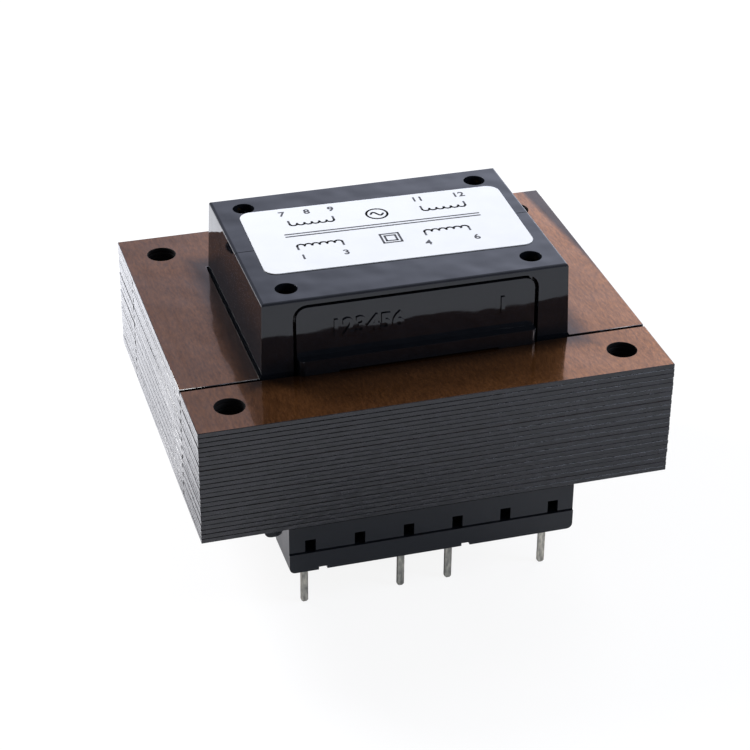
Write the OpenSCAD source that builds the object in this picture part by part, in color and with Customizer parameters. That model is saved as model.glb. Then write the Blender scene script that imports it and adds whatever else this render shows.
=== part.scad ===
// Laminated EI transformer with a split bobbin, two lapped winding covers and
// flat printed-circuit pins. Millimetres. X is the width of the core, Y its
// depth, Z up. The origin is midway between the pins, level with their tips.

/* [Core laminations] */
// Width of the centre leg
leg_w = 22; // [18:0.5:26]
// Width of each window, between the centre leg and an outer leg
window_w = 11; // [10:0.5:14]
// Length of each window, along the legs
window_d = 33; // [30:0.5:40]
// Width of each outer leg
outer_leg_w = 11; // [9:0.5:14]
// Width of the yoke, and of the I-shaped closing strip
yoke_w = 11; // [9:0.5:14]
// Thickness of one sheet
sheet_t = 0.65; // [0.5:0.05:0.8]
// Thickness of the varnish between two sheets
film_t = 0.065; // [0.02:0.005:0.12]
// Number of E and I sheets, turned end for end one by one
sheet_count = 24; // [16:1:24]
// Joint between the ends of an E sheet's legs and its I strip
butt_gap = 0.5; // [0.1:0.05:0.8]
// Diameter of the four corner holes
bolt_d = 4.1; // [3.2:0.1:5.2]
// Distance from a corner hole's centre to both edges of the sheet
bolt_edge = 5.5; // [4.5:0.25:6]

/* [Bobbin] */
// Clearance between the centre leg and the bobbin tube
leg_fit = 0.3; // [0.1:0.05:0.6]
// Wall of the bobbin tube
tube_wall = 1.2; // [0.8:0.1:1.6]
// Thickness of the end flanges
flange_t = 1.2; // [0.8:0.1:1.8]
// Thickness of the partition between the two winding sections
partition_t = 1.2; // [0.8:0.1:2]
// Clearance between the bobbin's flanges and the covers round them
flange_fit = 0.2; // [0.1:0.05:0.5]
// Open joint round the end panel, inside its frame
panel_gap = 0.5; // [0.2:0.1:0.8]
// Radius of the end panel's upper corners
panel_r = 1.5; // [1:0.25:4]
// Depth of the end panel's face behind the face of the cover
panel_sink = 0.15; // [0:0.05:0.4]
// Height of the foot that bears on the core
foot_h = 2.2; // [1.4:0.1:3]
// How far the foot stands out from the cover over the core
foot_out = 1.2; // [0.5:0.1:2]
// Radius of the foot's outer ends
foot_r = 0.8; // [0.4:0.1:1]
// Clearance between the foot and the core
foot_fit = 0.05; // [0.02:0.01:0.2]

/* [Terminal rails] */
// Depth of a rail, away from the winding
rail_d = 7.8; // [6.5:0.1:9]
// Gap between the rail and the cover beside it
rail_back = 1.3; // [1.05:0.05:1.5]
// Gap between the rail and the core above it
rail_gap = 1.9; // [1:0.1:2.4]
// Distance from the side of the covers to the end of a rail
rail_inset = 1.3; // [0.5:0.1:2]
// Radius of the rail's lower corners
rail_r = 0.8; // [0.3:0.1:1.2]
// How far the rail's lower band stands out
band_out = 0.25; // [0.1:0.05:0.6]
// Distance between neighbouring terminal places
pin_pitch = 7; // [6:0.25:7.5]
// Width of the square slots in the rail's face
slot_w = 1.5; // [1:0.1:2.2]
// Height of the square slots
slot_h = 2; // [1:0.1:2.5]
// Depth of the square slots
slot_d = 2.8; // [1:0.1:3]
// Height of the slots' lower edge over the rail's underside
slot_z = 3; // [1.6:0.1:4]
// Width of the two notches in the rail's lower edge
notch_w = 1.2; // [0.6:0.1:2]
// Depth of the two notches
notch_h = 0.45; // [0.2:0.05:0.8]

/* [Pins] */
// Width of a flat pin
pin_w = 1; // [0.8:0.05:1.3]
// Thickness of a flat pin
pin_t = 0.6; // [0.4:0.05:0.8]
// Length of pin that stands out under the rail
pin_reach = 7.8; // [3:0.1:10]
// Depth of plastic left over a pin's upper end
pin_cap = 1.2; // [1:0.1:2]
// Bevel at a pin's tip
pin_tip = 0.25; // [0.1:0.05:0.35]
// Clearance round a pin in its hole
pin_fit = 0.02; // [0.01:0.01:0.05]

/* [Windings] */
// Build of the inner winding of each section
inner_build = 2.8; // [2:0.1:3.2]
// Build of the outer winding of each section
outer_build = 2.8; // [2:0.1:3.2]
// Thickness of the tape round each section
tape_t = 0.25; // [0.1:0.05:0.5]
// Clearance between a winding and the flanges beside it
winding_fit = 0.2; // [0.1:0.05:0.5]
// Clearance between one layer and the next
layer_fit = 0.02; // [0.01:0.01:0.05]

/* [Covers] */
// Clearance between the covers' sides and the core's windows
window_fit = 0.2; // [0.1:0.05:0.4]
// Clearance between the covers' ends and the core's windows
end_fit = 0.4; // [0.1:0.05:0.6]
// Wall of the covers at the sides and below
cover_wall = 1.2; // [0.8:0.1:1.5]
// Wall of the covers on top
cover_top_wall = 1.2; // [1:0.1:2]
// Room between the tape and the cover's floor
under_room = 0.45; // [0.3:0.05:1.5]
// Room between the tape and the cover's roof
head_room = 2.3; // [1:0.05:4]
// Thickness of the frame at a cover's outer end
lip_t = 1.4; // [1.2:0.1:2]
// Width of the frame's two uprights
lip_w = 4.5; // [2.5:0.1:5]
// Height of the frame's top bar
lip_h = 0.9; // [0.6:0.1:1.2]
// Lean of the end face over the height above the core
face_draft = 0.4; // [0.1:0.1:0.9]
// Lean of each side over the height above the core
side_draft = 0.3; // [0.1:0.1:0.8]
// Radius of the covers' upper edges
top_r = 0.4; // [0.2:0.1:0.8]
// Radius of the covers' lower edges
under_r = 1; // [0.5:0.1:1]
// Open joint between the two covers
split_gap = 0.12; // [0.05:0.01:0.3]
// Distance by which the joint steps forward on one side and back on the other
joint_step = 0.6; // [0.3:0.05:1]
// Length of the tongue where the covers lap
lap = 1.2; // [0.6:0.1:2]
// Clearance round the tongue
lap_fit = 0.1; // [0.05:0.05:0.2]
// Diameter of the varnish holes in the roof
vent_d = 3.1; // [2:0.1:4]
// Distance from a varnish hole's centre to the roof's side edge
vent_side = 4.25; // [3:0.25:6]
// Distance from a varnish hole's centre to the roof's end edge
vent_end = 3.5; // [3:0.1:5]

/* [Label] */
// Thickness of the label
label_t = 0.12; // [0.06:0.02:0.3]
// Distance from the label to the roof's side edges
label_side = 2.4; // [1.5:0.1:4]
// Distance from the label to the roof's front edge
label_front = 7.2; // [3:0.1:9]
// Distance from the label to the roof's rear edge
label_rear = 5.5; // [3:0.1:9]
// Radius of the label's corners
label_r = 1.8; // [0.5:0.1:3]
// Distance by which the label sits off the middle, towards +X
label_shift = 0.4; // [0:0.05:0.8]
// Angle by which the label is turned clockwise
label_turn = 1.3; // [0:0.1:2]

/* [Hidden] */
$fn = 48;
// Length by which a cutter passes a face
over = 1;
// Steps in a rounded edge
arc_steps = 5;
// Places along one rail, and those that hold a pin
rail_places = 6;
front_places = [0, 2, 3, 5];
rear_places = [0, 1, 2, 4, 5];
// Middles of the notches, as shares of the rail's half length
notch_places = [-0.77, 0.23];

core_w = leg_w + 2 * window_w + 2 * outer_leg_w;
core_d = window_d + 2 * yoke_w;
sheet_pitch = sheet_t + film_t;
core_h = sheet_count * sheet_pitch - film_t;
bolt_x = core_w / 2 - bolt_edge;
bolt_y = core_d / 2 - bolt_edge;

winding_build = inner_build + outer_build + tape_t + 3 * layer_fit;
rail_z = pin_reach;
tube_out = leg_fit + tube_wall;
core_z = rail_z + cover_wall + under_room + winding_build + tube_out;
core_top = core_z + core_h;
room_z = rail_z + cover_wall;
room_top = core_top + tube_out + winding_build + head_room;
roof_z = room_top + cover_top_wall;

sleeve_x = leg_w / 2 + window_w - window_fit;
room_x = sleeve_x - cover_wall;
roof_x = sleeve_x - side_draft;
face_y = window_d / 2 - end_fit;
roof_y = face_y - face_draft;
lip_y = face_y - lip_t;
flange_y = lip_y - flange_fit;
lap_inset = (cover_wall + lap_fit) / 2;
opening_x = sleeve_x - lip_w;
opening_top = roof_z - lip_h;
panel_x = opening_x - panel_gap;
panel_top = opening_top - panel_gap;

tube_x = leg_w / 2 + tube_out;
tube_z = core_z - tube_out;
tube_h = core_h + 2 * tube_out;
section_y = partition_t / 2 + winding_fit;
section_d = flange_y - flange_t - winding_fit - section_y;

rail_x = sleeve_x - rail_inset;
rail_y = face_y + rail_back;
rail_front = rail_y + rail_d;
rail_top = core_z - rail_gap;
band_top = rail_z + slot_z;
pin_y = rail_y + rail_d / 2;
pin_top = rail_top - pin_cap;

function two_digits(i) = str(i < 10 ? "0" : "", i);
function e_name(i) = str("e_lamination_", two_digits(i));
function i_name(i) = str("i_lamination_", two_digits(i));
sheets = [1:sheet_count];

// Points of a round corner, from angle a to angle b about a centre
function corner(x, y, r, a, b) =
    [for (k = [0:arc_steps]) let (t = a + (b - a) * k / arc_steps) [x + r * cos(t), y + r * sin(t)]];

// The same points on the left-hand side, in reverse order
function mirrored(points) = [for (k = [len(points) - 1:-1:0]) [-points[k].x, points[k].y]];

// An outline drawn in X and Z, pushed from one Y to another
module along_y(from, to) {
    translate([0, to, 0])
        rotate([90, 0, 0])
            linear_extrude(to - from)
                children();
}

// An outline drawn in Y and Z, pushed from one X to another
module along_x(from, to) {
    translate([from, 0, 0])
        rotate([90, 0, 90])
            linear_extrude(to - from)
                children();
}

// An upright rectangle centred on X = 0
module upright(half_x, bottom, top) {
    translate([-half_x, bottom])
        square([2 * half_x, top - bottom]);
}

// A rectangle with round corners, centred on the origin
module round_rect(w, h, r) {
    square([w - 2 * r, h], center = true);
    square([w, h - 2 * r], center = true);
    for (x = [-1, 1], y = [-1, 1])
        translate([x * (w / 2 - r), y * (h / 2 - r)])
            circle(r);
}

// ---- Laminations ----

module corner_holes() {
    for (x = [-bolt_x, bolt_x], y = [-bolt_y, bolt_y])
        translate([x, y])
            circle(d = bolt_d);
}

// E sheet with its yoke at the rear
module e_outline() {
    leg_end = -window_d / 2 + butt_gap / 2;
    difference() {
        translate([-core_w / 2, leg_end])
            square([core_w, core_d / 2 - leg_end]);
        for (side = [-1, 1])
            translate([side * (leg_w + window_w) / 2, 0])
                square([window_w, window_d], center = true);
        corner_holes();
    }
}

// I strip that closes the E sheet at the front
module i_outline() {
    difference() {
        translate([-core_w / 2, -core_d / 2])
            square([core_w, yoke_w - butt_gap / 2]);
        corner_holes();
    }
}

// Sheet number i, counted from below; every other one is turned end for end
module laid_sheet(i) {
    translate([0, 0, core_z + (i - 1) * sheet_pitch])
        mirror([0, i % 2, 0])
            linear_extrude(sheet_t)
                children();
}

module e_lamination(i) {
    color("#6e4028")
        laid_sheet(i)
            e_outline();
}

module i_lamination(i) {
    color("#7d4a30")
        laid_sheet(i)
            i_outline();
}

// ---- Bobbin ----

// Plate that fills the room inside the covers
module flange_outline() {
    upright(room_x - flange_fit, room_z + flange_fit, room_top - flange_fit);
}

// End panel with round upper corners
module panel_outline(bottom) {
    side = corner(panel_x - panel_r, panel_top - panel_r, panel_r, 0, 90);
    polygon(concat([[panel_x, bottom]], side, mirrored(side), [[-panel_x, bottom]]));
}

// Section of an end face that leans back above the core
module leaning_section(back, sink) {
    face = face_y - sink;
    roof = roof_y - sink;
    polygon([[-back, rail_z], [-face, rail_z], [-face, core_top], [-roof, roof_z], [-back, roof_z]]);
}

// Foot that reaches out over the yoke, with round ends seen from above
module foot(z, h) {
    out = face_y + foot_out;
    difference() {
        translate([0, -out / 2, z])
            linear_extrude(h)
                round_rect(2 * panel_x, out, foot_r);
        translate([-panel_x - over, -flange_y, z - over])
            cube([2 * (panel_x + over), flange_y + over, h + 2 * over]);
    }
}

// Rail seen from the front, with round lower corners
module rail_outline(top) {
    side = corner(rail_x - rail_r, rail_z + rail_r, rail_r, -90, 0);
    polygon(concat(side, [[rail_x, top], [-rail_x, top]], mirrored(side)));
}

// X of terminal place k, counted from the left
function place_x(k) = (k - (rail_places - 1) / 2) * pin_pitch;

// Everything cut into one rail
module rail_cuts(places) {
    for (k = [0:rail_places - 1])
        translate([place_x(k) - slot_w / 2, -rail_front - over, band_top])
            cube([slot_w, slot_d + over, slot_h]);
    for (share = notch_places)
        translate([share * rail_x - notch_w / 2, -rail_front - over, rail_z - over])
            cube([notch_w, rail_d + 2 * over, notch_h + over]);
    for (k = places)
        translate([place_x(k) - pin_w / 2 - pin_fit, -pin_y - pin_t / 2 - pin_fit, rail_z - over])
            cube([pin_w + 2 * pin_fit, pin_t + 2 * pin_fit, pin_top + pin_fit - rail_z + over]);
}

// One terminal rail with the neck that joins it to the end panel
module rail(places) {
    difference() {
        union() {
            along_y(-rail_front, -rail_y)
                rail_outline(band_top);
            along_y(-rail_front + band_out, -rail_y)
                rail_outline(rail_top);
            along_y(-rail_y - over, -lip_y - flange_fit)
                upright(panel_x, rail_z, rail_top);
        }
        rail_cuts(places);
    }
}

// One end of the bobbin: flange, end panel, feet and terminal rail
module bobbin_end(places) {
    along_y(-flange_y, -flange_y + flange_t)
        flange_outline();
    intersection() {
        along_y(-face_y, -flange_y)
            panel_outline(room_z + flange_fit);
        along_x(-panel_x, panel_x)
            leaning_section(flange_y, panel_sink);
    }
    foot(core_top + foot_fit, foot_h);
    foot(rail_top - over, rail_gap - foot_fit + over);
    rail(places);
}

module bobbin() {
    color("#1d1d21")
        difference() {
            union() {
                bobbin_end(front_places);
                mirror([0, 1, 0])
                    bobbin_end(rear_places);
                along_y(-flange_y, flange_y)
                    upright(tube_x, tube_z, tube_z + tube_h);
                along_y(-partition_t / 2, partition_t / 2)
                    flange_outline();
            }
            along_y(-rail_front, rail_front)
                upright(leg_w / 2 + leg_fit, core_z - leg_fit, core_top + leg_fit);
        }
}

// ---- Windings ----

// One layer wound round the tube, between two distances from it
module wound(inner, outer, from) {
    translate([0, 0, core_z + core_h / 2])
        along_y(from, from + section_d)
            difference() {
                round_rect(2 * (tube_x + outer), tube_h + 2 * outer, outer);
                round_rect(2 * (tube_x + inner), tube_h + 2 * inner, max(inner, layer_fit));
            }
}

outer_start = layer_fit + inner_build + layer_fit;
tape_start = outer_start + outer_build + layer_fit;
front_section = -section_y - section_d;

module primary_winding_inner() {
    color("#b5652f")
        wound(layer_fit, layer_fit + inner_build, front_section);
}

module primary_winding_outer() {
    color("#b5652f")
        wound(outer_start, outer_start + outer_build, front_section);
}

module primary_tape() {
    color("#e2c456")
        wound(tape_start, tape_start + tape_t, front_section);
}

module secondary_winding_inner() {
    color("#b5652f")
        wound(layer_fit, layer_fit + inner_build, section_y);
}

module secondary_winding_outer() {
    color("#b5652f")
        wound(outer_start, outer_start + outer_build, section_y);
}

module secondary_tape() {
    color("#e2c456")
        wound(tape_start, tape_start + tape_t, section_y);
}

// ---- Covers ----

// Outside of the covers seen from the front, smaller all round by inset
module sleeve_outline(inset) {
    under = max(under_r, inset + layer_fit);
    top = max(top_r, inset + layer_fit);
    low = corner(sleeve_x - under, rail_z + under, under - inset, -90, 0);
    high = corner(roof_x - top, roof_z - top, top - inset, 0, 90);
    side = concat(low, [[sleeve_x - inset, core_top]], high);
    polygon(concat(side, mirrored(side)));
}

// Section of a cover from its leaning end face to beyond its joint
module cover_section() {
    edge = corner(-roof_y + top_r, roof_z - top_r, top_r, 180, 90);
    polygon(concat([[face_y, rail_z], [-face_y, rail_z], [-face_y, core_top]], edge, [[face_y, roof_z]]));
}

// Opening for the end panel and the rail's neck, open below
module opening_outline() {
    r = panel_r + panel_gap;
    side = corner(opening_x - r, opening_top - r, r, 0, 90);
    bottom = rail_z - over;
    polygon(concat([[opening_x, bottom]], side, mirrored(side), [[-opening_x, bottom]]));
}

module varnish_holes() {
    for (x = [-1, 1])
        translate([x * (roof_x - vent_side), -roof_y + vent_end, room_top - over])
            cylinder(d = vent_d, h = cover_top_wall + 2 * over);
}

// Everything on one side of X = 0, from one Y to another; side is -1 or 1
module half(side, from, to) {
    middle = split_gap / 2;
    translate([side > 0 ? middle : -core_w, from, 0])
        cube([core_w - middle, to - from, roof_z + over]);
}

// Tongue that reaches into the other cover, on the +X side
module tongue() {
    intersection() {
        along_y(joint_step - split_gap - layer_fit, joint_step + lap)
            difference() {
                sleeve_outline(lap_inset);
                upright(room_x, room_z, room_top);
            }
        half(1, -over, joint_step + lap);
    }
}

// Recess for the other cover's tongue, on the -X side
module recess() {
    intersection() {
        along_y(-joint_step - lap - lap_fit, over)
            sleeve_outline(lap_inset - lap_fit);
        translate([-core_w, -core_d, 0])
            cube([core_w + split_gap / 2, 2 * core_d, roof_z + over]);
    }
}

// The front cover; the rear one is the same moulding turned round
module cover() {
    difference() {
        intersection() {
            along_y(-face_y, face_y)
                sleeve_outline(0);
            along_x(-sleeve_x, sleeve_x)
                cover_section();
            union() {
                half(1, -core_d, joint_step - split_gap / 2);
                half(-1, -core_d, -joint_step - split_gap / 2);
                translate([-split_gap, -core_d, 0])
                    cube([2 * split_gap, core_d - joint_step - split_gap / 2, roof_z + over]);
            }
        }
        along_y(-lip_y, face_y)
            upright(room_x, room_z, room_top);
        along_y(-face_y - over, -lip_y + layer_fit)
            opening_outline();
        varnish_holes();
        recess();
    }
    tongue();
}

module front_cover() {
    color("#26262b")
        cover();
}

module rear_cover() {
    color("#26262b")
        rotate([0, 0, 180])
            cover();
}

// ---- Label and pins ----

module label() {
    label_w = 2 * (roof_x - label_side);
    label_d = 2 * roof_y - label_front - label_rear;
    color("#f2f2f4")
        translate([label_shift, (label_front - label_rear) / 2, roof_z])
            rotate([0, 0, -label_turn])
                linear_extrude(label_t)
                    round_rect(label_w, label_d, label_r);
}

// One flat pin with a bevelled tip
module pin() {
    half = pin_w / 2;
    tip = half - pin_tip;
    along_y(-pin_t / 2, pin_t / 2)
        polygon([[-tip, 0], [tip, 0], [half, pin_tip], [half, pin_top], [-half, pin_top], [-half, pin_tip]]);
}

module pin_row(places, y) {
    color("#b9b6a8")
        for (k = places)
            translate([place_x(k), y, 0])
                pin();
}

module front_pins() {
    pin_row(front_places, -pin_y);
}

module rear_pins() {
    pin_row(rear_places, pin_y);
}

bobbin();
front_cover();
rear_cover();
label();
front_pins();
rear_pins();
primary_winding_inner();
primary_winding_outer();
primary_tape();
secondary_winding_inner();
secondary_winding_outer();
secondary_tape();
for (i = sheets) e_lamination(i);
for (i = sheets) i_lamination(i);
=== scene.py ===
import math
import random

import bmesh
import bpy
from mathutils import Matrix, Vector
from mathutils.bvhtree import BVHTree


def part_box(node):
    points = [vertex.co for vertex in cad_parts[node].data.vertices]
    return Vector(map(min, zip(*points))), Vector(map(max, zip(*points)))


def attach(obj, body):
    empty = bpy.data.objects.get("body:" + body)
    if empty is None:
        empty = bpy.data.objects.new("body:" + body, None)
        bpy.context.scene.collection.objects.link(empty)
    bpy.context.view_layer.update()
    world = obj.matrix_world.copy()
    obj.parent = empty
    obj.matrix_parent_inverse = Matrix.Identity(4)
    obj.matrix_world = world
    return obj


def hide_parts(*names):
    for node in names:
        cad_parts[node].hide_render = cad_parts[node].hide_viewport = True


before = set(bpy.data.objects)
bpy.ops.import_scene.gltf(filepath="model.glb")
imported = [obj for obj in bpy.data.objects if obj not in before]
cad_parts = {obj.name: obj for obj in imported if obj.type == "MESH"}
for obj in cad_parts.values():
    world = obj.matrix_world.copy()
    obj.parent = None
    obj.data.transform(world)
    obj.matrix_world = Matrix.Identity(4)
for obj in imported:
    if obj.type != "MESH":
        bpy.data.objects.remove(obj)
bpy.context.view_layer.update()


# ---- Camera ----
# A long lens on a stand, in front of the primary rail and a little to the left,
# looking down on the core by about thirty degrees.
scene = bpy.context.scene
camera_azimuth = math.radians(-16.614)
camera_elevation = math.radians(31.031)
camera_roll = math.radians(0.557)
camera_place = Vector((-0.07947, -0.26248, 0.18658))
away = Vector((
    math.sin(camera_azimuth) * math.cos(camera_elevation),
    -math.cos(camera_azimuth) * math.cos(camera_elevation),
    math.sin(camera_elevation),
))
level = Vector((0, 0, 1)).cross(away).normalized()
upward = away.cross(level)
right = math.cos(camera_roll) * level + math.sin(camera_roll) * upward
up = -math.sin(camera_roll) * level + math.cos(camera_roll) * upward
camera_data = bpy.data.cameras.new("camera")
camera_data.sensor_width = 36
camera_data.lens = 106.1
camera = bpy.data.objects.new("camera", camera_data)
camera_turn = Matrix((right, up, away)).transposed().to_4x4()
camera.matrix_world = Matrix.Translation(camera_place) @ camera_turn
scene.collection.objects.link(camera)
scene.camera = camera


# ---- Studio ----
# A white table under a white tent that brightens from left to right and darkens towards the front.
# The tent is a little blue, so black plastic and clear varnish take a cool sheen. Three soft lamps
# stand behind the right side, behind the left side and at the right in front.
scene.view_settings.view_transform = "Standard"


def colour(code):
    """The linear colour of an sRGB hex code such as #1d1d21."""
    parts = [int(code[k:k + 2], 16) / 255 for k in (1, 3, 5)]
    return tuple(p / 12.92 if p <= 0.04045 else ((p + 0.055) / 1.055) ** 2.4 for p in parts) + (1,)


def node(tree, kind, inputs=None, **settings):
    """Adds a shader node with its settings, and gives each input a value or a link. An input goes by
    its name, or by its number where several share a name: 6 and 7 are the colours of a Mix node."""
    made = tree.nodes.new(kind)
    for name, value in settings.items():
        setattr(made, name, value)
    for name, value in (inputs or {}).items():
        if isinstance(value, bpy.types.NodeSocket):
            tree.links.new(value, made.inputs[name])
        else:
            made.inputs[name].default_value = value
    return made


def new_material(name):
    """A material with an empty node tree."""
    material = bpy.data.materials.new(name)
    material.use_nodes = True
    material.node_tree.nodes.clear()
    return material


world = bpy.data.worlds.new("white_tent")
scene.world = world
world.use_nodes = True
tent = world.node_tree
tent.nodes.clear()
rays = node(tent, "ShaderNodeLightPath")
direction = node(tent, "ShaderNodeTexCoord").outputs["Generated"]
heading = node(tent, "ShaderNodeSeparateXYZ", {"Vector": direction})
# What gloss mirrors: darker cloth on the left, a brighter band low down, and a third as bright in front
rightward = node(tent, "ShaderNodeMapRange", {"Value": heading.outputs["X"],
                                              "From Min": -0.3, "From Max": 0.4})
cloth = node(tent, "ShaderNodeValToRGB", {"Fac": rightward.outputs["Result"]})
cloth.color_ramp.elements[0].position = 0.07
cloth.color_ramp.elements[0].color = colour("#838795")
cloth.color_ramp.elements[1].position = 0.9
cloth.color_ramp.elements[1].color = colour("#e2e8ff")
cloth.color_ramp.elements.new(0.614).color = colour("#a8acbe")
low_down = node(tent, "ShaderNodeMapRange", {"Value": heading.outputs["Z"],
                                             "From Min": 0.42, "From Max": 0.62,
                                             "To Min": 1.75, "To Max": 1.05})
in_front = node(tent, "ShaderNodeMapRange", {"Value": heading.outputs["Y"],
                                             "From Min": -0.6, "From Max": -0.1,
                                             "To Min": 0.35, "To Max": 1.0})
strength = node(tent, "ShaderNodeMath", {0: low_down.outputs["Result"], 1: in_front.outputs["Result"]},
                operation="MULTIPLY")
mirrored = node(tent, "ShaderNodeBackground", {"Color": cloth.outputs["Color"],
                                               "Strength": strength.outputs["Value"]})
# What lights matt surfaces, and the plain white that the camera sees
filling = node(tent, "ShaderNodeBackground", {"Color": colour("#ffffff"), "Strength": 0.3})
white = node(tent, "ShaderNodeBackground", {"Color": colour("#ffffff"), "Strength": 1.0})
light = node(tent, "ShaderNodeMixShader", {"Fac": rays.outputs["Is Glossy Ray"],
                                           1: filling.outputs["Background"],
                                           2: mirrored.outputs["Background"]})
backdrop = node(tent, "ShaderNodeMixShader", {"Fac": rays.outputs["Is Camera Ray"],
                                              1: light.outputs["Shader"],
                                              2: white.outputs["Background"]})
node(tent, "ShaderNodeOutputWorld", {"Surface": backdrop.outputs["Shader"]})

# Each lamp's place and width in metres, its power in watts and its tint
LAMPS = (("right_lamp", (0.42, 0.31, 0.43), 0.4, 2.2, (1.0, 1.0, 1.0)),
         ("left_lamp", (-0.16, 0.17, 0.20), 0.12, 0.85, (1.0, 1.0, 1.0)),
         ("front_lamp", (0.40, -0.20, 0.25), 0.2, 1.0, (0.75, 0.85, 1.0)))
LAMP_AIM = Vector((0, 0, 0.03))
for name, spot, width, watts, tint in LAMPS:
    lamp_data = bpy.data.lights.new(name, "AREA")
    lamp_data.shape = "DISK"
    lamp_data.size = width
    lamp_data.energy = watts
    lamp_data.color = tint
    lamp = bpy.data.objects.new(name, lamp_data)
    lamp.location = spot
    lamp.rotation_euler = (Vector(spot) - LAMP_AIM).to_track_quat("Z", "Y").to_euler()
    scene.collection.objects.link(lamp)

TABLE_REACH = 2.0
table_corners = [(x * TABLE_REACH, y * TABLE_REACH, 0) for x, y in ((-1, -1), (1, -1), (1, 1), (-1, 1))]
table_mesh = bpy.data.meshes.new("table")
table_mesh.from_pydata(table_corners, [], [(0, 1, 2, 3)])
table = bpy.data.objects.new("table", table_mesh)
scene.collection.objects.link(table)
# The camera sees the table as 85 parts of plain white to 15 of paint, and the paint keeps the shadow
table_paint = new_material("white_table")
top = table_paint.node_tree
rays = node(top, "ShaderNodeLightPath")
share = node(top, "ShaderNodeMath", {0: rays.outputs["Is Camera Ray"], 1: 0.85}, operation="MULTIPLY")
paint = node(top, "ShaderNodeBsdfDiffuse", {"Color": colour("#f1f2f8")})
glow = node(top, "ShaderNodeEmission", {"Color": colour("#ffffff"), "Strength": 1.05})
painted = node(top, "ShaderNodeMixShader", {"Fac": share.outputs["Value"], 1: paint.outputs["BSDF"],
                                            2: glow.outputs["Emission"]})
node(top, "ShaderNodeOutputMaterial", {"Surface": painted.outputs["Shader"]})
table_mesh.materials.append(table_paint)


# ---- Core laminations ----
# Forty-eight sheets stamped from 0.65 mm silicon steel: an E and an I in each plane, turned
# end for end plane by plane. The punch rolls their edges over, and no two lie quite in line.
# The dip leaves a film of varnish on both faces of each, which nearly closes the gaps.
MM = 0.001
LEG = 22 * MM
WINDOW = 11 * MM
WINDOW_LENGTH = 33 * MM
HOLE = 4.1 * MM
HOLE_EDGE = 5.5 * MM
HOLE_STEPS = 40
ROLLED_EDGE = 0.07 * MM
OUT_OF_LINE = 0.03 * MM
VARNISH = 0.02 * MM
SHEET_CREASE = math.radians(50)
LEVEL_FACE = 0.97
STACKING_SEED = 66
core_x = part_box("e_lamination_01")[1].x
core_y = max(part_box("e_lamination_01")[1].y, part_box("i_lamination_01")[1].y)
hole_x, hole_y = core_x - HOLE_EDGE, core_y - HOLE_EDGE


def ring(x, y, radius, steps):
    """Points round a circle."""
    turns = [2 * math.pi * k / steps for k in range(steps)]
    return [(x + radius * math.cos(t), y + radius * math.sin(t)) for t in turns]


def smooth(mesh, angle):
    """Shades a mesh smooth, except where two faces meet at more than this angle."""
    mesh.polygons.foreach_set("use_smooth", [True] * len(mesh.polygons))
    mesh.set_sharp_from_angle(angle=angle)


def place(name, mesh, material, slot, *stands_for):
    """Puts one piece of the object in the scene, on the root body."""
    piece = bpy.data.objects.new(name, mesh)
    scene.collection.objects.link(piece)
    piece.modifiers.new("even_shading", "WEIGHTED_NORMAL").keep_sharp = True
    mesh.materials.clear()
    mesh.materials.append(material)
    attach(piece, "root")
    if stands_for:
        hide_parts(*stands_for)


def stamped(name, loops, low, high, edge):
    """A flat sheet cut to closed loops of points, with round edges, between two heights."""
    curve = bpy.data.curves.new(name, "CURVE")
    curve.dimensions = "2D"
    curve.fill_mode = "BOTH"
    curve.extrude = (high - low) / 2 - edge
    curve.bevel_depth = edge
    curve.bevel_resolution = 1
    curve.offset = -edge
    for loop in loops:
        spline = curve.splines.new("POLY")
        spline.points.add(len(loop) - 1)
        for point, (x, y) in zip(spline.points, loop):
            point.co = (x, y, 0, 1)
        spline.use_cyclic_u = True
    holder = bpy.data.objects.new(name, curve)
    mesh = bpy.data.meshes.new_from_object(holder)
    bpy.data.objects.remove(holder)
    mesh.transform(Matrix.Translation((0, 0, (low + high) / 2)))
    smooth(mesh, SHEET_CREASE)
    return mesh


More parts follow.
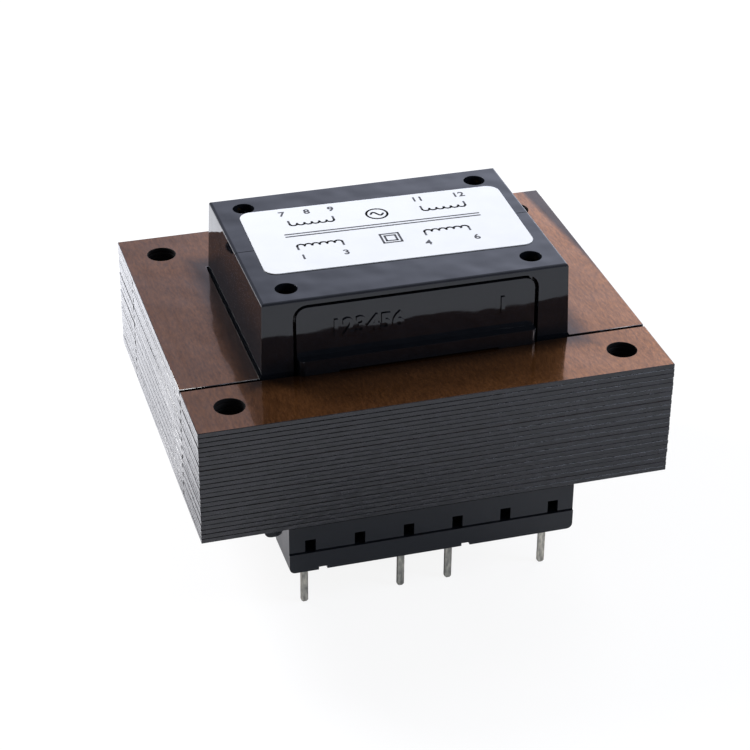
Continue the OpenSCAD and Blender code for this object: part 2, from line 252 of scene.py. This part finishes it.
def varnished_steel():
    """Rolled silicon steel, dipped in amber impregnating varnish: brown metal under a clear gloss on
    the faces, which mirror what stands on them, dark scale under glossy beads on the cut edges,
    and dull black inside the holes, where the varnish drained away."""
    material = new_material("varnished_silicon_steel")
    tree = material.node_tree
    place_in = node(tree, "ShaderNodeTexCoord").outputs["Object"]
    side = node(tree, "ShaderNodeSeparateXYZ", {"Vector": place_in})
    folded = node(tree, "ShaderNodeVectorMath", {0: place_in}, operation="ABSOLUTE")
    # Rolled grain of the steel, 0.3 mm wide and four times as long
    rolled = node(tree, "ShaderNodeMapping", {"Vector": place_in, "Scale": (1.0, 0.25, 1.0)})
    grain = node(tree, "ShaderNodeTexNoise", {"Vector": rolled.outputs["Vector"], "Scale": 1 / (0.3 * MM),
                                              "Detail": 3.0, "Roughness": 0.65})
    bare = node(tree, "ShaderNodeValToRGB", {"Fac": grain.outputs["Fac"]})
    bare.color_ramp.elements[0].position = 0.3
    bare.color_ramp.elements[0].color = colour("#774c2c")
    bare.color_ramp.elements[1].position = 0.7
    bare.color_ramp.elements[1].color = colour("#a56d40")
    # Varnish that pooled in patches of 7 mm, and painted shade that darkens the faces towards the left, away
    # from the light on the right
    pools = node(tree, "ShaderNodeTexNoise", {"Vector": place_in, "Scale": 1 / (7 * MM), "Detail": 3.0})
    painted_shade_leftward = node(tree, "ShaderNodeMapRange", {"Value": side.outputs["X"],
                                                "From Min": -core_x, "From Max": core_x,
                                                "To Min": -0.1, "To Max": 0.65})
    thin = node(tree, "ShaderNodeMath", {0: pools.outputs["Fac"], 1: 0.5, 2: painted_shade_leftward.outputs["Result"]},
                operation="MULTIPLY_ADD")
    film = node(tree, "ShaderNodeValToRGB", {"Fac": thin.outputs["Value"]})
    film.color_ramp.elements[0].color = colour("#a5a3ab")
    film.color_ramp.elements[1].color = colour("#ffffff")
    # A painted dark reflection along the right-hand edge, 2 mm wide at the rear and none in front
    dark_reflection_taper, dark_reflection_start = -0.09, core_x + 0.3 * MM
    dark_reflection_edge = node(tree, "ShaderNodeMath", {0: side.outputs["Y"], 1: dark_reflection_taper, 2: dark_reflection_start},
                    operation="MULTIPLY_ADD")
    beyond = node(tree, "ShaderNodeMath", {0: side.outputs["X"], 1: dark_reflection_edge.outputs["Value"]},
                  operation="SUBTRACT")
    painted_dark_reflection = node(tree, "ShaderNodeMapRange", {"Value": beyond.outputs["Value"],
                                            "From Min": -0.9 * MM, "From Max": 0.3 * MM,
                                            "To Min": 1.0, "To Max": 0.12},
               interpolation_type="SMOOTHSTEP")
    # Painted shade round the foot of the covers, which darkens the sheet for 4 mm
    foot = (LEG / 2 + WINDOW, WINDOW_LENGTH / 2, 0)
    from_foot = node(tree, "ShaderNodeVectorMath", {0: folded.outputs["Vector"], 1: foot},
                     operation="SUBTRACT")
    outward = node(tree, "ShaderNodeSeparateXYZ", {"Vector": from_foot.outputs["Vector"]})
    away_by = node(tree, "ShaderNodeMath", {0: outward.outputs["X"], 1: outward.outputs["Y"]},
                   operation="MAXIMUM")
    painted_shade_at_covers = node(tree, "ShaderNodeMapRange", {"Value": away_by.outputs["Value"],
                                               "From Min": 0.5 * MM, "From Max": 4.5 * MM,
                                               "To Min": 0.2, "To Max": 1.0},
                  interpolation_type="SMOOTHSTEP")
    # Both painted marks together: the dark reflection at the right edge and the shade round the covers
    painted_shade_and_reflection = node(tree, "ShaderNodeMath", {0: painted_dark_reflection.outputs["Result"], 1: painted_shade_at_covers.outputs["Result"]},
                operation="MULTIPLY")
    varnished = node(tree, "ShaderNodeMix", {"Factor": 1.0, 6: bare.outputs["Color"],
                                             7: film.outputs["Color"]},
                     data_type="RGBA", blend_type="MULTIPLY")
    face_colour = node(tree, "ShaderNodeMix", {"Factor": 1.0, 6: varnished.outputs[2],
                                               7: painted_shade_and_reflection.outputs["Value"]},
                       data_type="RGBA", blend_type="MULTIPLY")
    # The clear gloss swells over 9 mm, sags over 1.6 mm, and has matt flecks of 0.22 mm
    swells = node(tree, "ShaderNodeTexNoise", {"Vector": place_in, "Scale": 1 / (9 * MM), "Detail": 1.0})
    sags = node(tree, "ShaderNodeTexNoise", {"Vector": rolled.outputs["Vector"], "Scale": 1 / (1.6 * MM),
                                             "Detail": 1.0})
    slow_bump = node(tree, "ShaderNodeBump", {"Height": swells.outputs["Fac"], "Strength": 1.0,
                                              "Distance": 0.12 * MM})
    face_bump = node(tree, "ShaderNodeBump", {"Height": sags.outputs["Fac"], "Strength": 1.0,
                                              "Distance": 0.03 * MM, "Normal": slow_bump.outputs["Normal"]})
    flecks = node(tree, "ShaderNodeTexNoise", {"Vector": place_in, "Scale": 1 / (0.22 * MM), "Detail": 2.0})
    gloss = node(tree, "ShaderNodeMapRange", {"Value": flecks.outputs["Fac"],
                                              "From Min": 0.3, "From Max": 0.7,
                                              "To Min": 0.06, "To Max": 0.24})
    face = node(tree, "ShaderNodeBsdfPrincipled", {
        "Base Color": face_colour.outputs[2], "Metallic": 0.7, "Roughness": gloss.outputs["Result"],
        "Normal": face_bump.outputs["Normal"], "Coat Weight": 0.3, "Coat Roughness": 0.03,
        "Coat Normal": face_bump.outputs["Normal"]})
    # On the cut edges the varnish lies in beads of 0.5 mm, drawn out to three times that along a sheet
    stretch = node(tree, "ShaderNodeMapping", {"Vector": place_in, "Scale": (0.35, 0.35, 1.0)})
    beads = node(tree, "ShaderNodeTexNoise", {"Vector": stretch.outputs["Vector"], "Scale": 1 / (0.5 * MM),
                                              "Detail": 3.0})
    edge_tone = node(tree, "ShaderNodeValToRGB", {"Fac": beads.outputs["Fac"]})
    edge_tone.color_ramp.elements[0].position = 0.35
    edge_tone.color_ramp.elements[0].color = colour("#09090b")
    edge_tone.color_ramp.elements[1].position = 0.75
    edge_tone.color_ramp.elements[1].color = colour("#201f24")
    edge_bump = node(tree, "ShaderNodeBump", {"Height": beads.outputs["Fac"], "Strength": 1.0,
                                              "Distance": 0.09 * MM})
    edge = node(tree, "ShaderNodeBsdfPrincipled", {
        "Base Color": edge_tone.outputs["Color"], "Metallic": 0.9, "Roughness": 0.35,
        "Normal": edge_bump.outputs["Normal"], "Coat Weight": 1.0, "Coat Roughness": 0.12,
        "Coat Normal": edge_bump.outputs["Normal"]})
    # The bores of the holes are matt and nearly black
    bore = node(tree, "ShaderNodeBsdfPrincipled", {"Base Color": colour("#0b0a0b"), "Roughness": 0.8,
                                                   "Specular IOR Level": 0.2})
    from_hole = node(tree, "ShaderNodeVectorMath", {0: folded.outputs["Vector"], 1: (hole_x, hole_y, 0)},
                     operation="SUBTRACT")
    level_part = node(tree, "ShaderNodeVectorMath", {0: from_hole.outputs["Vector"], 1: (1, 1, 0)},
                      operation="MULTIPLY")
    reach = node(tree, "ShaderNodeVectorMath", {0: level_part.outputs["Vector"]}, operation="LENGTH")
    in_hole = node(tree, "ShaderNodeMath", {0: reach.outputs["Value"], 1: HOLE / 2 + 2 * ROLLED_EDGE},
                   operation="LESS_THAN")
    cut = node(tree, "ShaderNodeMixShader", {"Fac": in_hole.outputs["Value"], 1: edge.outputs["BSDF"],
                                             2: bore.outputs["BSDF"]})
    # Faces within 14 degrees of level are the flat sides of a sheet, and the rest are its cut edges
    lie = node(tree, "ShaderNodeSeparateXYZ", {
        "Vector": node(tree, "ShaderNodeNewGeometry").outputs["True Normal"]})
    upright = node(tree, "ShaderNodeMath", {0: lie.outputs["Z"]}, operation="ABSOLUTE")
    on_face = node(tree, "ShaderNodeMath", {0: upright.outputs["Value"], 1: LEVEL_FACE},
                   operation="GREATER_THAN")
    both = node(tree, "ShaderNodeMixShader", {"Fac": on_face.outputs["Value"], 1: cut.outputs["Shader"],
                                              2: face.outputs["BSDF"]})
    node(tree, "ShaderNodeOutputMaterial", {"Surface": both.outputs["Shader"]})
    return material


def e_outline(leg_end):
    """Outline of an E sheet with its yoke at the rear and its legs ending at this Y."""
    inner, outer = LEG / 2, LEG / 2 + WINDOW
    bay = WINDOW_LENGTH / 2
    return [(-core_x, leg_end), (-outer, leg_end), (-outer, bay), (-inner, bay), (-inner, leg_end),
            (inner, leg_end), (inner, bay), (outer, bay), (outer, leg_end), (core_x, leg_end),
            (core_x, core_y), (-core_x, core_y)]


def i_outline(inner_edge):
    """Outline of an I strip at the rear, with its inner edge at this Y."""
    return [(-core_x, inner_edge), (core_x, inner_edge), (core_x, core_y), (-core_x, core_y)]


core_steel = varnished_steel()
sheet_holes = [ring(x, hole_y, HOLE / 2, HOLE_STEPS) for x in (-hole_x, hole_x)]
stacking = random.Random(STACKING_SEED)
for name in sorted(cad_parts):
    if "_lamination_" not in name:
        continue
    low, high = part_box(name)
    end = 1 if low.y + high.y > 0 else -1
    inner_edge = low.y if end > 0 else -high.y
    outline = e_outline(inner_edge) if name.startswith("e_") else i_outline(inner_edge)
    loops = [[(x, y * end) for x, y in loop] for loop in [outline] + sheet_holes]
    sheet = stamped("sheet_" + name, loops, low.z - VARNISH, high.z + VARNISH, ROLLED_EDGE)
    slip = [stacking.uniform(-OUT_OF_LINE, OUT_OF_LINE) for axis in range(2)]
    sheet.transform(Matrix.Translation((*slip, 0)))
    place("sheet_" + name, sheet, core_steel, "core_sheet", name)


# ---- Bobbin and covers ----
# Injection-moulded black nylon. The bobbin carries both terminal rails, and the two covers lap over
# its windings. All three were dipped with the core, so a clear gloss lies over every edge.
COVER_EDGE = 0.2 * MM
BOBBIN_EDGE = 0.12 * MM
EDGE_STEPS = 2
WELD = 0.002 * MM
SAME_PLANE = math.radians(1)
SHARP_CORNER = math.radians(35)
MOULDED_CREASE = math.radians(40)
RIPPLE = 0.12 * MM


def eased(node_name, width):
    """A moulded piece with its sharp edges rounded to this width."""
    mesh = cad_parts[node_name].data.copy()
    work = bmesh.new()
    work.from_mesh(mesh)
    bmesh.ops.remove_doubles(work, verts=work.verts, dist=WELD)
    bmesh.ops.dissolve_limit(work, angle_limit=SAME_PLANE, verts=work.verts, edges=work.edges)
    sharp = [e for e in work.edges if len(e.link_faces) == 2 and e.calc_face_angle(0) > SHARP_CORNER]
    bmesh.ops.bevel(work, geom=sharp, offset=width, segments=EDGE_STEPS, profile=0.5, affect="EDGES",
                    clamp_overlap=True)
    work.to_mesh(mesh)
    work.free()
    smooth(mesh, MOULDED_CREASE)
    return mesh


def dipped_nylon(name, tone):
    """Black moulded nylon under dipping varnish: almost no colour of its own, and a smooth gloss with
    slow ripples of 5 mm where the varnish ran and fine dust of 0.6 mm under it."""
    material = new_material(name)
    tree = material.node_tree
    place_in = node(tree, "ShaderNodeTexCoord").outputs["Object"]
    waves = node(tree, "ShaderNodeTexNoise", {"Vector": place_in, "Scale": 1 / (5 * MM), "Detail": 1.0})
    dust = node(tree, "ShaderNodeTexNoise", {"Vector": place_in, "Scale": 1 / (0.6 * MM), "Detail": 2.0})
    slow = node(tree, "ShaderNodeBump", {"Height": waves.outputs["Fac"], "Strength": 1.0, "Distance": RIPPLE})
    quick = node(tree, "ShaderNodeBump", {"Height": dust.outputs["Fac"], "Strength": 0.3,
                                          "Distance": 0.004 * MM, "Normal": slow.outputs["Normal"]})
    tint = node(tree, "ShaderNodeValToRGB", {"Fac": dust.outputs["Fac"]})
    tint.color_ramp.elements[0].color = colour(tone)
    tint.color_ramp.elements[1].color = colour("#14171d")
    gloss = node(tree, "ShaderNodeMapRange", {"Value": waves.outputs["Fac"], "To Min": 0.03, "To Max": 0.09})
    shell = node(tree, "ShaderNodeBsdfPrincipled", {
        "Base Color": tint.outputs["Color"], "Roughness": gloss.outputs["Result"],
        "Normal": quick.outputs["Normal"], "IOR": 1.5})
    node(tree, "ShaderNodeOutputMaterial", {"Surface": shell.outputs["BSDF"]})
    return material


cover_nylon = dipped_nylon("dipped_black_nylon_cover", "#0d0f14")
bobbin_nylon = dipped_nylon("dipped_black_nylon_bobbin", "#07090d")
for name in ("front_cover", "rear_cover"):
    place("shell_" + name, eased(name, COVER_EDGE), cover_nylon, "cover_plastic", name)
place("moulded_bobbin", eased("bobbin", BOBBIN_EDGE), bobbin_nylon, "bobbin_plastic", "bobbin")


# ---- Label ----
# White polyester film, printed in black and stuck over the joint of the covers. It shows terminal
# numbers and a plain diagram of the two primary and two secondary windings.
LABEL_EDGE = 0.02 * MM
LABEL_TURN = math.radians(-1.3)
PRINT = 0.01 * MM
LINE = 0.3 * MM
BOLD = 0.05 * MM
DIGIT = 1.35 * MM
DIGIT_SHARE = 0.72
COIL_WIDTH = 6.4 * MM
COIL_TURNS = 6
COIL_LEAD = 0.9 * MM
ARC_STEPS = 8
BAR_REACH = 14 * MM
SINE_Y = 4.6 * MM
SINE_RING = 1.5 * MM
SINE_RING_STEPS = 32
SINE_WIDTH = 1.8 * MM
SINE_HEIGHT = 0.5 * MM
SINE_STEPS = 12
SQUARES_Y = -3.0 * MM


def polyester_film():
    """White polyester label film: a smooth satin white with a faint unevenness of 4 mm from the glue."""
    material = new_material("white_polyester_film")
    tree = material.node_tree
    place_in = node(tree, "ShaderNodeTexCoord").outputs["Object"]
    glue = node(tree, "ShaderNodeTexNoise", {"Vector": place_in, "Scale": 1 / (4 * MM), "Detail": 2.0})
    tint = node(tree, "ShaderNodeValToRGB", {"Fac": glue.outputs["Fac"]})
    tint.color_ramp.elements[0].color = colour("#d6d8de")
    tint.color_ramp.elements[1].color = colour("#dfe1e6")
    lumps = node(tree, "ShaderNodeBump", {"Height": glue.outputs["Fac"], "Strength": 0.4,
                                          "Distance": 0.03 * MM})
    film = node(tree, "ShaderNodeBsdfPrincipled", {"Base Color": tint.outputs["Color"], "Roughness": 0.3,
                                                   "Normal": lumps.outputs["Normal"]})
    node(tree, "ShaderNodeOutputMaterial", {"Surface": film.outputs["BSDF"]})
    return material


def printing_ink():
    """Black ribbon print: a matt black with thin spots of 0.3 mm, where the white shows through."""
    material = new_material("black_ribbon_print")
    tree = material.node_tree
    place_in = node(tree, "ShaderNodeTexCoord").outputs["Object"]
    thin = node(tree, "ShaderNodeTexNoise", {"Vector": place_in, "Scale": 1 / (0.3 * MM), "Detail": 2.0})
    tint = node(tree, "ShaderNodeValToRGB", {"Fac": thin.outputs["Fac"]})
    tint.color_ramp.elements[0].color = colour("#121214")
    tint.color_ramp.elements[1].color = colour("#3a3a3e")
    ink = node(tree, "ShaderNodeBsdfPrincipled", {"Base Color": tint.outputs["Color"], "Roughness": 0.45})
    node(tree, "ShaderNodeOutputMaterial", {"Surface": ink.outputs["BSDF"]})
    return material


def lettering(text, x, y, height, bold, thickness=0.0):
    """The flat or raised mesh of a line of digits, centred on a point."""
    font = bpy.data.curves.new(text, "FONT")
    font.body = text
    font.size = height / DIGIT_SHARE
    font.align_x = "CENTER"
    font.align_y = "CENTER"
    font.extrude = thickness
    font.offset = bold
    font.resolution_u = 3
    holder = bpy.data.objects.new(text, font)
    mesh = bpy.data.meshes.new_from_object(holder)
    bpy.data.objects.remove(holder)
    mesh.transform(Matrix.Translation((x, y, 0)))
    return mesh


def stroke(points, closed=False):
    """A flat printed line through points."""
    work = bmesh.new()
    ends = points + points[:1] if closed else points
    for (x0, y0), (x1, y1) in zip(ends, ends[1:]):
        along = Vector((x1 - x0, y1 - y0, 0)).normalized() * LINE / 2
        side = Vector((-along.y, along.x, 0))
        a, b = Vector((x0, y0, 0)) - along, Vector((x1, y1, 0)) + along
        work.faces.new([work.verts.new(p) for p in (a - side, b - side, b + side, a + side)])
    mesh = bpy.data.meshes.new("stroke")
    work.to_mesh(mesh)
    work.free()
    return mesh


def coil(x, y, side):
    """A winding as drawn in a diagram: a row of half circles, with a short lead at each end."""
    points = []
    start = x - COIL_WIDTH / 2
    radius = COIL_WIDTH / COIL_TURNS / 2
    for k in range(COIL_TURNS):
        for s in range(ARC_STEPS + 1):
            t = math.pi * (1 - s / ARC_STEPS)
            points.append((start + radius * (2 * k + 1) + radius * math.cos(t),
                           y + side * radius * math.sin(t)))
    lead_y = y - side * COIL_LEAD
    return [(start, lead_y)] + points + [(x + COIL_WIDTH / 2, lead_y)]


def merged(name, meshes):
    """One mesh made of several."""
    work = bmesh.new()
    for mesh in meshes:
        work.from_mesh(mesh)
    mesh = bpy.data.meshes.new(name)
    work.to_mesh(mesh)
    work.free()
    return mesh


place("label_film", eased("label", LABEL_EDGE), polyester_film(), "label_stock", "label")

# A row of terminal numbers along the rear edge and one along the front edge, in mm from the middle
number_rows = ((7.6, (("7", -13.1), ("8", -9.5), ("9", -6.0), ("11", 6.8), ("12", 12.9))),
               (-5.6, (("1", -13.0), ("3", -7.0), ("4", 4.7), ("6", 11.7))))
prints = [lettering(number, x * MM, y * MM, DIGIT, BOLD) for y, row in number_rows for number, x in row]
# Two secondary windings above the core bars and two primary windings below them
for x, y, side in ((-9.5, 4.4, -1), (9.8, 4.4, -1), (-10, -2.4, 1), (8.2, -2.4, 1)):
    prints.append(stroke(coil(x * MM, y * MM, side)))
for y in (1.4 * MM, 0.7 * MM):
    prints.append(stroke([(-BAR_REACH, y), (BAR_REACH, y)]))
# Sine wave in a circle for alternating current, and two nested squares for double insulation
prints.append(stroke(ring(0, SINE_Y, SINE_RING, SINE_RING_STEPS), closed=True))
prints.append(stroke([(SINE_WIDTH * (k / SINE_STEPS - 0.5),
                       SINE_Y + SINE_HEIGHT * math.sin(2 * math.pi * k / SINE_STEPS))
                      for k in range(SINE_STEPS + 1)]))
for half in (1.3 * MM, 0.75 * MM):
    square = [(half * x, half * y + SQUARES_Y) for x, y in ((-1, -1), (1, -1), (1, 1), (-1, 1))]
    prints.append(stroke(square, closed=True))
artwork = merged("label_print", prints)
label_low, label_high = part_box("label")
label_middle = (label_low + label_high) / 2
film_top = Vector((label_middle.x, label_middle.y, label_high.z + PRINT))
artwork.transform(Matrix.Translation(film_top) @ Matrix.Rotation(LABEL_TURN, 4, "Z"))
place("label_print", artwork, printing_ink(), "label_stock")


# ---- Raised numbers ----
# The end panels carry the numbers of their terminal places, cut into the mould, so they stand
# 0.25 mm proud of the nylon. The front one has a single number more, at its right-hand end.
RAISED = 0.25 * MM
NUMBER_HEIGHT = 2.5 * MM
NUMBER_BOLD = 0.09 * MM
NUMBER_Z = 39.8 * MM
bobbin_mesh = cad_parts["bobbin"].data
bobbin_faces = BVHTree.FromPolygons([v.co for v in bobbin_mesh.vertices],
                                    [p.vertices for p in bobbin_mesh.polygons])
for name, end, words in (("raised_front_numbers", -1, (("123456", -7.0), ("1", 12.2))),
                         ("raised_rear_numbers", 1, (("789", -7.0), ("10-12", 7.0)))):
    figures = []
    for word, x in words:
        spot, lean = bobbin_faces.ray_cast((x * MM, end, NUMBER_Z), (0, -end, 0))[:2]
        across = Vector((-end, 0, 0))
        panel = Matrix((across, lean.cross(across), lean)).transposed().to_4x4()
        figure = lettering(word, 0, 0, NUMBER_HEIGHT, NUMBER_BOLD, RAISED)
        figure.transform(Matrix.Translation(spot) @ panel)
        figures.append(figure)
    place(name, merged(name, figures), bobbin_nylon, "bobbin_plastic")


# ---- Pins ----
# Flat brass wire, tinned, cut to length and pressed into the rails. The tips are bevelled, and the
# tin is streaked from soldering and a little yellow.
PIN_EDGE = 0.06 * MM


def tinned_brass():
    """Hot-tinned brass: soft grey-silver metal with streaks of 0.4 mm, drawn out along its length."""
    material = new_material("tinned_brass")
    tree = material.node_tree
    place_in = node(tree, "ShaderNodeTexCoord").outputs["Object"]
    drawn = node(tree, "ShaderNodeMapping", {"Vector": place_in, "Scale": (1.0, 1.0, 0.3)})
    streaks = node(tree, "ShaderNodeTexNoise", {"Vector": drawn.outputs["Vector"], "Scale": 1 / (0.4 * MM),
                                                "Detail": 3.0})
    tint = node(tree, "ShaderNodeValToRGB", {"Fac": streaks.outputs["Fac"]})
    tint.color_ramp.elements[0].position = 0.3
    tint.color_ramp.elements[0].color = colour("#a09c92")
    tint.color_ramp.elements[1].position = 0.7
    tint.color_ramp.elements[1].color = colour("#f0ead8")
    dents = node(tree, "ShaderNodeBump", {"Height": streaks.outputs["Fac"], "Strength": 0.4,
                                          "Distance": 0.02 * MM})
    tin = node(tree, "ShaderNodeBsdfPrincipled", {"Base Color": tint.outputs["Color"], "Metallic": 1.0,
                                                  "Roughness": 0.4, "Normal": dents.outputs["Normal"]})
    node(tree, "ShaderNodeOutputMaterial", {"Surface": tin.outputs["BSDF"]})
    return material


pin_tin = tinned_brass()
for name in ("front_pins", "rear_pins"):
    place("tinned_" + name, eased(name, PIN_EDGE), pin_tin, "tinned_pin", name)


# ---- Windings and tape ----
# Enamelled copper wire, wound in layers on the bobbin, with yellow polyester tape round each
# section. They are closed in by the covers and show only through the varnish holes.
WIRE = 0.4 * MM
BAND = 2 * math.pi * WIRE
WAVE_PERIOD = 2 * math.pi / 20


def wound_wire():
    """Enamelled copper: a red-brown gloss in ridges of 2.5 mm, six turns of 0.4 mm wire to each,
    because single turns are too fine to show. Its colour is painted shade in the hollows between the
    ridges and painted highlight on their crests. Scale 1 of the wave texture has WAVE_PERIOD."""
    material = new_material("enamelled_copper_wire")
    tree = material.node_tree
    place_in = node(tree, "ShaderNodeTexCoord").outputs["Object"]
    turns = node(tree, "ShaderNodeTexWave", {"Vector": place_in, "Scale": WAVE_PERIOD / BAND},
                 wave_type="BANDS", bands_direction="Y")
    # Painted shade in the hollows and painted highlight on the crests of the ridges
    tint = node(tree, "ShaderNodeValToRGB", {"Fac": turns.outputs["Fac"]})
    tint.color_ramp.elements[0].color = colour("#4f210f")
    tint.color_ramp.elements[1].color = colour("#b8602c")
    ridges = node(tree, "ShaderNodeBump", {"Height": turns.outputs["Fac"], "Strength": 1.0,
                                           "Distance": 0.1 * MM})
    wire = node(tree, "ShaderNodeBsdfPrincipled", {"Base Color": tint.outputs["Color"], "Metallic": 0.6,
                                                   "Roughness": 0.3, "Normal": ridges.outputs["Normal"]})
    node(tree, "ShaderNodeOutputMaterial", {"Surface": wire.outputs["BSDF"]})
    return material


def polyester_tape():
    """Yellow polyester tape under varnish: a clear satin film with slight creases of 3 mm."""
    material = new_material("yellow_polyester_tape")
    tree = material.node_tree
    place_in = node(tree, "ShaderNodeTexCoord").outputs["Object"]
    creases = node(tree, "ShaderNodeTexNoise", {"Vector": place_in, "Scale": 1 / (3 * MM), "Detail": 3.0})
    tint = node(tree, "ShaderNodeValToRGB", {"Fac": creases.outputs["Fac"]})
    tint.color_ramp.elements[0].color = colour("#8f6f1e")
    tint.color_ramp.elements[1].color = colour("#c9a43a")
    folds = node(tree, "ShaderNodeBump", {"Height": creases.outputs["Fac"], "Strength": 0.6,
                                          "Distance": 0.1 * MM})
    tape = node(tree, "ShaderNodeBsdfPrincipled", {"Base Color": tint.outputs["Color"], "Roughness": 0.35,
                                                   "Normal": folds.outputs["Normal"]})
    node(tree, "ShaderNodeOutputMaterial", {"Surface": tape.outputs["BSDF"]})
    return material


copper, tape = wound_wire(), polyester_tape()
for section in ("primary", "secondary"):
    for part, finish in (("_winding_inner", copper), ("_winding_outer", copper), ("_tape", tape)):
        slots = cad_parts[section + part].data.materials
        slots.clear()
        slots.append(finish)
